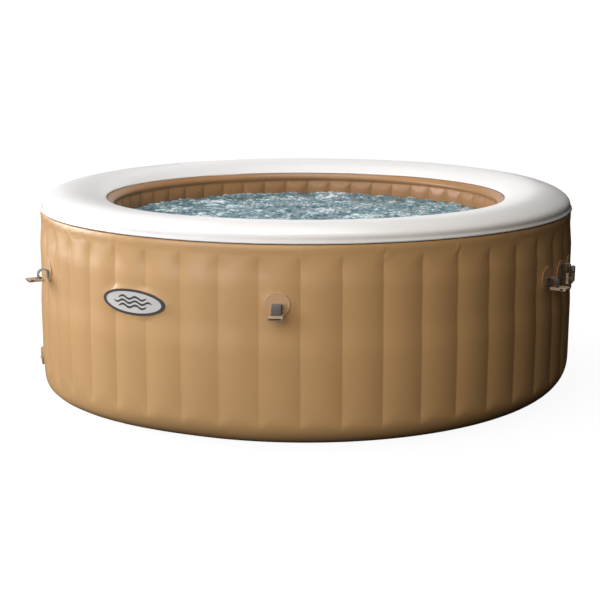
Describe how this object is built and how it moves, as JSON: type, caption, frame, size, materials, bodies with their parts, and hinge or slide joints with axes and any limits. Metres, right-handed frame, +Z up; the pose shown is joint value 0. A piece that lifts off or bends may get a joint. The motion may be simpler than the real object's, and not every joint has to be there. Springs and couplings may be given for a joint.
{
  "type": "inflatable hot tub",
  "caption": "Round inflatable hot tub with fluted air-chamber walls, a white padded rim, cover buckles, drain and inflation valves, and rear water and air ports.",
  "frame": {"origin": "centre of the base, on the ground", "axes": "+Z up; -Y is the front; +Y is the back, where the water and air ports are"},
  "size_m": [1.956, 2.1097, 0.7117],
  "materials": {
    "tan_wall": "satin",
    "white_rim": "satin",
    "tan_liner": "satin",
    "base_grey": "matte",
    "web_clear": "matte",
    "badge_dark": "gloss",
    "badge_light": "gloss",
    "patch_tan": "satin",
    "webbing": "matte",
    "buckle_tan": "satin",
    "port_grey": "satin",
    "valve_tan": "satin",
    "seal_black": "matte",
    "hose_clear": "satin",
    "spring_steel": "satin",
    "water": "gloss"
  },
  "bodies": {
    "tub": {"outer_wall": "tan_wall", "outer_port_panels": "tan_wall", "inner_port_panels": "tan_liner", "top_ring": "white_rim", "inner_wall": "tan_liner", "base_sheet": "base_grey", "tension_webs": "web_clear", "bubble_channel": "tan_liner", "badge_rim": "badge_dark", "badge_face": "badge_light", "buckle_patches": "patch_tan", "strap_roots": "webbing", "inlet_stub": "port_grey", "inlet_gasket": "seal_black", "inlet_duct": "hose_clear", "inlet_housing": "port_grey", "outlet_stub": "port_grey", "outlet_gasket": "seal_black", "outlet_duct": "hose_clear", "outlet_housing": "port_grey", "air_port": "port_grey", "air_feed_tube": "hose_clear", "inflation_valve": "valve_tan", "inflation_spring": "spring_steel", "drain_valve": "valve_tan", "drain_duct": "hose_clear", "drain_inner_flange": "tan_liner"},
    "strap_1": {"strap_1": "webbing"},
    "buckle_1": {"buckle_1": "buckle_tan"},
    "strap_2": {"strap_2": "webbing"},
    "buckle_2": {"buckle_2": "buckle_tan"},
    "strap_3": {"strap_3": "webbing"},
    "buckle_3": {"buckle_3": "buckle_tan"},
    "strap_4": {"strap_4": "webbing"},
    "buckle_4": {"buckle_4": "buckle_tan"},
    "strap_5": {"strap_5": "webbing"},
    "buckle_5": {"buckle_5": "buckle_tan"},
    "strap_6": {"strap_6": "webbing"},
    "buckle_6": {"buckle_6": "buckle_tan"},
    "strap_7": {"strap_7": "webbing"},
    "buckle_7": {"buckle_7": "buckle_tan"},
    "strap_8": {"strap_8": "webbing"},
    "buckle_8": {"buckle_8": "buckle_tan"},
    "drain_cap": {"drain_cap": "valve_tan", "drain_seal": "seal_black"},
    "drain_plug": {"drain_plug": "seal_black"},
    "inlet_strainer": {"inlet_strainer": "port_grey"},
    "outlet_strainer": {"outlet_strainer": "port_grey"},
    "air_flap": {"air_flap": "seal_black"},
    "inflation_stem": {"inflation_stem": "valve_tan", "inflation_seal": "seal_black"},
    "inflation_cap": {"inflation_cap": "valve_tan"}
  },
  "joints": [
    {"name": "strap_1_swing", "type": "hinge", "parent": "tub", "child": "strap_1", "pos_m": [-0.86256, -0.498, 0.463], "axis": [-0.5, 0.866, 0], "range_deg": [-10, 40], "stiffness_Nm_per_rad": 0.4},
    {"name": "buckle_1_turn", "type": "hinge", "parent": "strap_1", "child": "buckle_1", "pos_m": [-0.87642, -0.506, 0.429], "axis": [-0.5, 0.866, 0], "range_deg": [-95, 35]},
    {"name": "strap_2_swing", "type": "hinge", "parent": "tub", "child": "strap_2", "pos_m": [-0.00522, -0.99599, 0.463], "axis": [-1, 0.0052, 0], "range_deg": [-10, 40], "stiffness_Nm_per_rad": 0.4},
    {"name": "buckle_2_turn", "type": "hinge", "parent": "strap_2", "child": "buckle_2", "pos_m": [-0.0053, -1.01199, 0.429], "axis": [-1, 0.0052, 0], "range_deg": [-95, 35]},
    {"name": "strap_3_swing", "type": "hinge", "parent": "tub", "child": "strap_3", "pos_m": [0.86256, -0.498, 0.463], "axis": [-0.5, -0.866, 0], "range_deg": [-10, 40], "stiffness_Nm_per_rad": 0.4},
    {"name": "buckle_3_turn", "type": "hinge", "parent": "strap_3", "child": "buckle_3", "pos_m": [0.87642, -0.506, 0.429], "axis": [-0.5, -0.866, 0], "range_deg": [-95, 35]},
    {"name": "strap_4_swing", "type": "hinge", "parent": "tub", "child": "strap_4", "pos_m": [0.86256, 0.498, 0.463], "axis": [0.5, -0.866, 0], "range_deg": [-10, 40], "stiffness_Nm_per_rad": 0.4},
    {"name": "buckle_4_turn", "type": "hinge", "parent": "strap_4", "child": "buckle_4", "pos_m": [0.87642, 0.506, 0.429], "axis": [0.5, -0.866, 0], "range_deg": [-95, 35]},
    {"name": "strap_5_swing", "type": "hinge", "parent": "tub", "child": "strap_5", "pos_m": [0, 0.996, 0.463], "axis": [1, 0, 0], "range_deg": [-10, 40], "stiffness_Nm_per_rad": 0.4},
    {"name": "buckle_5_turn", "type": "hinge", "parent": "strap_5", "child": "buckle_5", "pos_m": [0, 1.012, 0.429], "axis": [1, 0, 0], "range_deg": [-95, 35]},
    {"name": "strap_6_swing", "type": "hinge", "parent": "tub", "child": "strap_6", "pos_m": [-0.86256, 0.498, 0.463], "axis": [0.5, 0.866, 0], "range_deg": [-10, 40], "stiffness_Nm_per_rad": 0.4},
    {"name": "buckle_6_turn", "type": "hinge", "parent": "strap_6", "child": "buckle_6", "pos_m": [-0.87642, 0.506, 0.429], "axis": [0.5, 0.866, 0], "range_deg": [-95, 35]},
    {"name": "strap_7_swing", "type": "hinge", "parent": "tub", "child": "strap_7", "pos_m": [0.92018, -0.38115, 0.49], "axis": [-0.3827, -0.9239, 0], "range_deg": [-5, 60], "stiffness_Nm_per_rad": 0.4},
    {"name": "buckle_7_turn", "type": "hinge", "parent": "strap_7", "child": "buckle_7", "pos_m": [0.93127, -0.38575, 0.446], "axis": [-0.3827, -0.9239, 0], "range_deg": [-5, 125]},
    {"name": "strap_8_swing", "type": "hinge", "parent": "tub", "child": "strap_8", "pos_m": [0.94806, -0.25403, 0.45], "axis": [-0.2588, -0.9659, 0], "range_deg": [0, 15], "stiffness_Nm_per_rad": 0.4},
    {"name": "buckle_8_turn", "type": "hinge", "parent": "strap_8", "child": "buckle_8", "pos_m": [0.96206, -0.25778, 0.415], "axis": [-0.2588, -0.9659, 0], "range_deg": [-125, 0]},
    {"name": "drain_cap_turn", "type": "hinge", "parent": "tub", "child": "drain_cap", "pos_m": [-0.95386, -0.21496, 0.08279], "axis": [-0.9732, -0.2193, -0.0698], "range_deg": [0, 360]},
    {"name": "drain_plug_pull", "type": "slide", "parent": "tub", "child": "drain_plug", "axis": [0.9732, 0.2193, 0.0698], "range_m": [0, 0.05]},
    {"name": "inlet_strainer_turn", "type": "hinge", "parent": "tub", "child": "inlet_strainer", "pos_m": [-0.128, 0.68, 0.11], "axis": [0, -1, 0], "range_deg": [0, 60]},
    {"name": "outlet_strainer_turn", "type": "hinge", "parent": "tub", "child": "outlet_strainer", "pos_m": [0.128, 0.68, 0.11], "axis": [0, -1, 0], "range_deg": [0, 60]},
    {"name": "air_flap_swing", "type": "hinge", "parent": "tub", "child": "air_flap", "pos_m": [0, 0.9704, 0.304], "axis": [-1, 0, 0], "range_deg": [0, 50], "stiffness_Nm_per_rad": 0.002},
    {"name": "inflation_stem_push", "type": "slide", "parent": "tub", "child": "inflation_stem", "axis": [-0.1305, -0.9914, 0], "range_m": [0, 0.006], "stiffness_N_per_m": 300, "deforming": ["inflation_spring"]},
    {"name": "inflation_cap_open", "type": "hinge", "parent": "tub", "child": "inflation_cap", "pos_m": [0.12844, 0.97558, 0.355], "axis": [0.9914, -0.1305, 0], "range_deg": [0, 150]}
  ]
}
